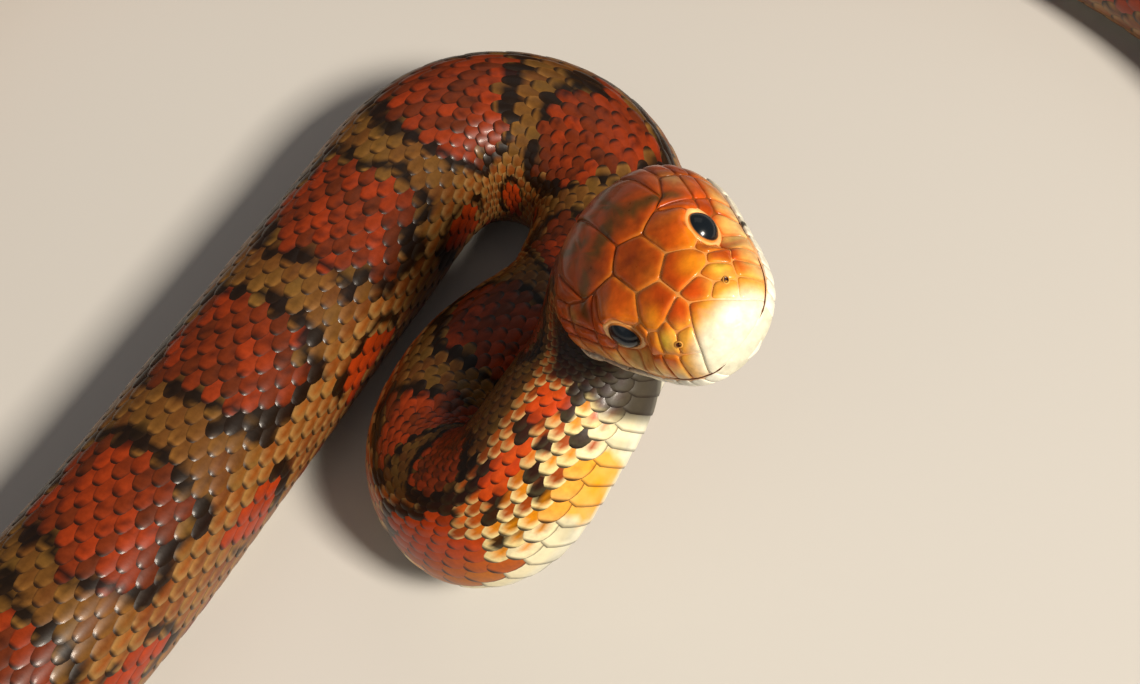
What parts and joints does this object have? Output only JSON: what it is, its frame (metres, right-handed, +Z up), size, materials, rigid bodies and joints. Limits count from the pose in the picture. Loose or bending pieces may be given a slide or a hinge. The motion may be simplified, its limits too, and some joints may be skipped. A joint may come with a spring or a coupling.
{
  "type": "corn snake model",
  "caption": "Life-size still corn snake lying in one loose open coil, with a tight bend behind its raised forebody and its head turned to the viewer.",
  "frame": {"origin": "middle of the model's footprint, on the floor that it lies on", "axes": "+Z up from the floor; the viewer of the picture looks along +Y and downward, with +X to the right"},
  "size_m": [0.2588, 0.2718, 0.0675],
  "materials": {
    "head_skin": "satin orange to red-orange head plates over lighter grooves",
    "jaw_skin": "satin ivory lips, chin and jaw",
    "body_skin": "satin scales, red saddles edged with black on yellow-brown, ivory belly checked with black",
    "eye": "glossy blue-black"
  },
  "bodies": {
    "root": {"head": "head_skin", "jaw": "jaw_skin", "eye_left": "eye", "eye_right": "eye", "neck": "body_skin", "forebody_rise": "body_skin", "forebody_bend": "body_skin", "forebody_rear": "body_skin", "body_01": "body_skin", "body_02": "body_skin", "body_03": "body_skin", "body_04": "body_skin", "body_05": "body_skin", "body_06": "body_skin", "body_07": "body_skin", "body_08": "body_skin", "body_09": "body_skin", "body_10": "body_skin", "body_11": "body_skin", "body_12": "body_skin", "body_13": "body_skin", "body_14": "body_skin", "body_15": "body_skin", "body_16": "body_skin", "body_17": "body_skin", "body_18": "body_skin", "body_19": "body_skin", "body_20": "body_skin", "tail_1": "body_skin", "tail_2": "body_skin", "tail_tip": "body_skin"}
  },
  "joints": []
}
